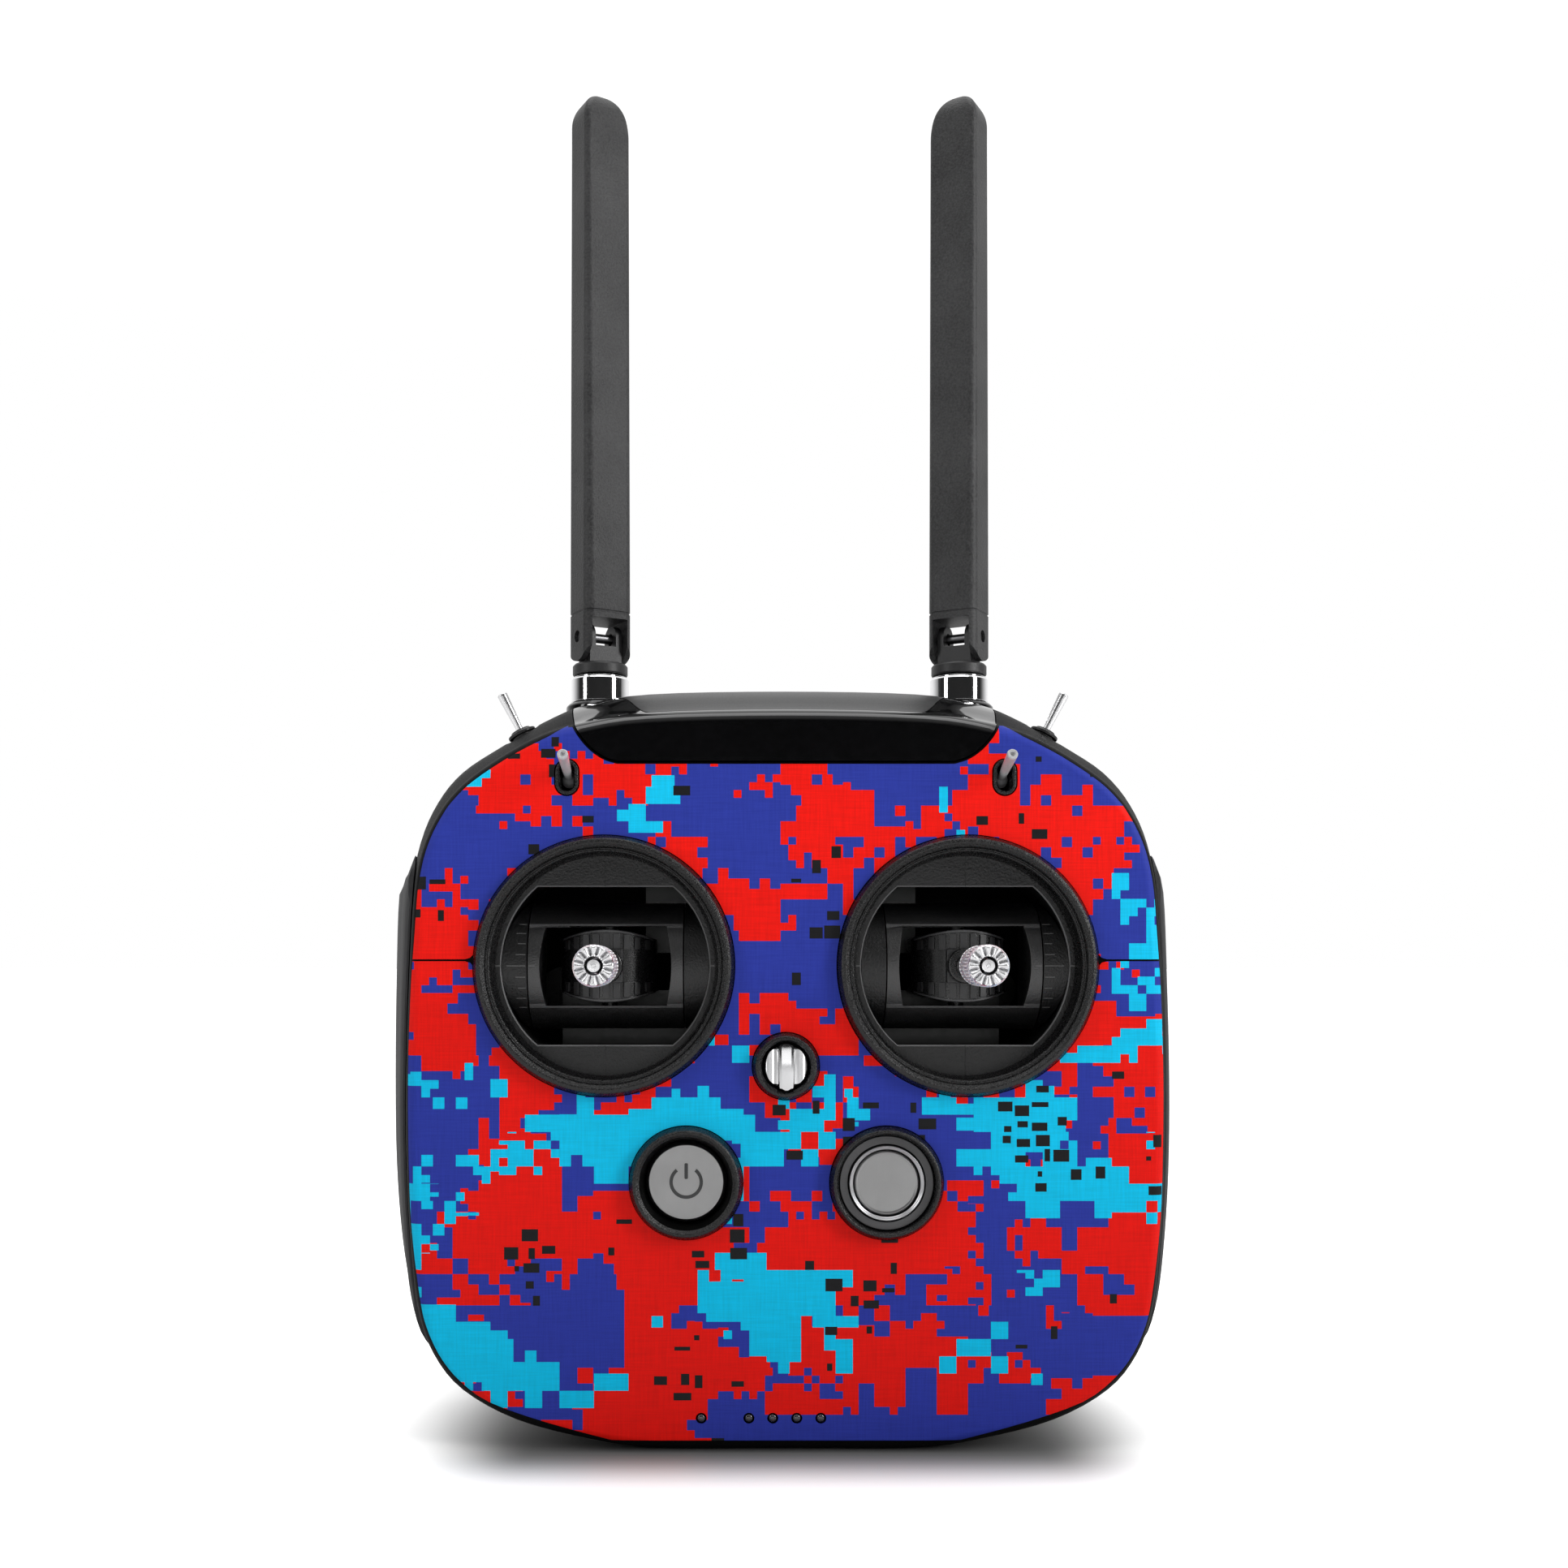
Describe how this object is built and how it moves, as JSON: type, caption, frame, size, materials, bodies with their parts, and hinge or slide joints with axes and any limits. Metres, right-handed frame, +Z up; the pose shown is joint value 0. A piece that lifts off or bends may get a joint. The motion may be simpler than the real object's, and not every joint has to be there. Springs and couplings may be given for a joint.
{
  "type": "radio transmitter controller",
  "caption": "Handheld radio transmitter with spring-centred sticks, rotary mode knob, round push buttons, toggle levers and folding antennas on a skinned casing.",
  "frame": {"origin": "centre of the flat base that the controller stands on", "axes": "+Z up along the antennas, -Y the face with the sticks, +X to the right of the face"},
  "size_m": [0.2064, 0.102, 0.355],
  "materials": {
    "shell_plastic": "satin moulded",
    "vinyl": "printed vinyl, linen weave",
    "gloss_cover": "high gloss",
    "grip_rubber": "fine grained rubber",
    "bezel_plastic": "fine textured",
    "gimbal_plastic": "satin moulded",
    "stick_aluminium": "knurled and polished",
    "chrome": "polished",
    "button_metal": "brushed satin",
    "collar_grey": "satin",
    "led_lens": "clear dark lens",
    "control_plastic": "satin moulded",
    "battery_wrap": "shrink wrapped",
    "circuit_board": "solder mask",
    "antenna_plastic": "fine textured",
    "pin_steel": "satin"
  },
  "bodies": {
    "root": {"front_shell": "shell_plastic", "rear_shell": "shell_plastic", "vinyl_skin": "vinyl", "top_cover": "gloss_cover", "left_grip": "grip_rubber", "right_grip": "grip_rubber", "left_gimbal_bezel": "bezel_plastic", "right_gimbal_bezel": "bezel_plastic", "left_gimbal_plate": "gimbal_plastic", "right_gimbal_plate": "gimbal_plastic", "mode_bezel": "bezel_plastic", "power_bezel": "bezel_plastic", "home_bezel": "bezel_plastic", "home_collar": "collar_grey", "home_ring": "chrome", "status_led": "led_lens", "battery_led_1": "led_lens", "battery_led_2": "led_lens", "battery_led_3": "led_lens", "battery_led_4": "led_lens", "left_front_toggle_slot": "bezel_plastic", "right_front_toggle_slot": "bezel_plastic", "left_shoulder_toggle_nut": "chrome", "right_shoulder_toggle_nut": "chrome", "port_panel": "control_plastic", "battery": "battery_wrap", "main_board": "circuit_board", "radio_board": "circuit_board", "left_antenna_nut": "chrome", "right_antenna_nut": "chrome"},
    "left_yoke": {"left_outer_yoke": "gimbal_plastic"},
    "left_stick": {"left_inner_drum": "gimbal_plastic", "left_stick_shaft": "stick_aluminium", "left_stick_locknut": "stick_aluminium", "left_stick_tip": "stick_aluminium"},
    "left_front_toggle": {"left_front_toggle": "chrome"},
    "left_shoulder_toggle": {"left_shoulder_toggle": "chrome"},
    "left_dial": {"left_dial": "control_plastic"},
    "left_rear_button": {"left_rear_button": "control_plastic"},
    "left_antenna_base": {"left_antenna_fork": "antenna_plastic", "left_antenna_pin": "pin_steel"},
    "left_antenna": {"left_antenna_paddle": "antenna_plastic"},
    "right_yoke": {"right_outer_yoke": "gimbal_plastic"},
    "right_stick": {"right_inner_drum": "gimbal_plastic", "right_stick_shaft": "stick_aluminium", "right_stick_locknut": "stick_aluminium", "right_stick_tip": "stick_aluminium"},
    "right_front_toggle": {"right_front_toggle": "chrome"},
    "right_shoulder_toggle": {"right_shoulder_toggle": "chrome"},
    "right_dial": {"right_dial": "control_plastic"},
    "right_rear_button": {"right_rear_button": "control_plastic"},
    "right_antenna_base": {"right_antenna_fork": "antenna_plastic", "right_antenna_pin": "pin_steel"},
    "right_antenna": {"right_antenna_paddle": "antenna_plastic"},
    "mode_knob": {"mode_knob": "chrome"},
    "power_button": {"power_button": "button_metal"},
    "home_button": {"home_button": "button_metal"},
    "record_button": {"record_button": "chrome"},
    "shutter_button": {"shutter_button": "control_plastic"}
  },
  "joints": [
    {"name": "left_stick_up_down", "type": "hinge", "parent": "root", "child": "left_yoke", "pos_m": [-0.0443, -0.011, 0.1185], "axis": [1, 0, 0], "range_deg": [-25, 25], "stiffness_Nm_per_rad": 0.25},
    {"name": "left_stick_side_to_side", "type": "hinge", "parent": "left_yoke", "child": "left_stick", "pos_m": [-0.0443, -0.011, 0.1185], "axis": [0, 0, 1], "range_deg": [-25, 25], "stiffness_Nm_per_rad": 0.25},
    {"name": "left_front_toggle_flip", "type": "hinge", "parent": "root", "child": "left_front_toggle", "pos_m": [-0.0533, -0.0246, 0.1644], "axis": [1, 0, 0], "range_deg": [0, 28]},
    {"name": "left_shoulder_toggle_flip", "type": "hinge", "parent": "root", "child": "left_shoulder_toggle", "pos_m": [-0.0664, -0.012, 0.1772], "axis": [0.891, 0, 0.454], "range_deg": [-15, 15]},
    {"name": "left_rear_button_press", "type": "slide", "parent": "root", "child": "left_rear_button", "axis": [0, -1, 0], "range_m": [0, 0.001], "stiffness_N_per_m": 400},
    {"name": "left_antenna_swivel", "type": "hinge", "parent": "root", "child": "left_antenna_base", "pos_m": [-0.0488, 0.014, 0.1988], "axis": [0, 0, 1], "range_deg": [-90, 90]},
    {"name": "left_antenna_fold", "type": "hinge", "parent": "left_antenna_base", "child": "left_antenna", "pos_m": [-0.0488, 0.014, 0.2075], "axis": [0.866, 0.5, 0], "range_deg": [-90, 90]},
    {"name": "right_stick_up_down", "type": "hinge", "parent": "root", "child": "right_yoke", "pos_m": [0.0443, -0.011, 0.1185], "axis": [1, 0, 0], "range_deg": [-25, 25], "stiffness_Nm_per_rad": 0.25},
    {"name": "right_stick_side_to_side", "type": "hinge", "parent": "right_yoke", "child": "right_stick", "pos_m": [0.0443, -0.011, 0.1185], "axis": [0, 0, 1], "range_deg": [-25, 25], "stiffness_Nm_per_rad": 0.25},
    {"name": "right_front_toggle_flip", "type": "hinge", "parent": "root", "child": "right_front_toggle", "pos_m": [0.0533, -0.0246, 0.1644], "axis": [1, 0, 0], "range_deg": [0, 28]},
    {"name": "right_shoulder_toggle_flip", "type": "hinge", "parent": "root", "child": "right_shoulder_toggle", "pos_m": [0.0664, -0.012, 0.1772], "axis": [0.891, 0, -0.454], "range_deg": [-15, 15]},
    {"name": "right_rear_button_press", "type": "slide", "parent": "root", "child": "right_rear_button", "axis": [0, -1, 0], "range_m": [0, 0.001], "stiffness_N_per_m": 400},
    {"name": "right_antenna_swivel", "type": "hinge", "parent": "root", "child": "right_antenna_base", "pos_m": [0.0488, 0.014, 0.1988], "axis": [0, 0, 1], "range_deg": [-90, 90]},
    {"name": "right_antenna_fold", "type": "hinge", "parent": "right_antenna_base", "child": "right_antenna", "pos_m": [0.0488, 0.014, 0.2075], "axis": [0.866, -0.5, 0], "range_deg": [-90, 90]},
    {"name": "left_dial_turn", "type": "hinge", "parent": "root", "child": "left_dial", "pos_m": [-0.0657, 0.0122, 0.1684], "axis": [0, 1, 0], "range_deg": [-30, 30], "stiffness_Nm_per_rad": 0.02},
    {"name": "right_dial_turn", "type": "hinge", "parent": "root", "child": "right_dial", "pos_m": [0.0657, 0.0122, 0.1684], "axis": [0, 1, 0], "continuous": true},
    {"name": "mode_knob_turn", "type": "hinge", "parent": "root", "child": "mode_knob", "pos_m": [0, -0.03, 0.0941], "axis": [0, 1, 0], "range_deg": [-35, 35]},
    {"name": "power_button_press", "type": "slide", "parent": "root", "child": "power_button", "axis": [0, 1, 0], "range_m": [0, 0.001], "stiffness_N_per_m": 500},
    {"name": "home_button_press", "type": "slide", "parent": "root", "child": "home_button", "axis": [0, 1, 0], "range_m": [0, 0.001], "stiffness_N_per_m": 500},
    {"name": "record_button_press", "type": "slide", "parent": "root", "child": "record_button", "axis": [0.722, 0, -0.6919], "range_m": [0, 0.0008], "stiffness_N_per_m": 400},
    {"name": "shutter_button_press", "type": "slide", "parent": "root", "child": "shutter_button", "axis": [-0.722, 0, -0.6919], "range_m": [0, 0.0008], "stiffness_N_per_m": 400}
  ]
}
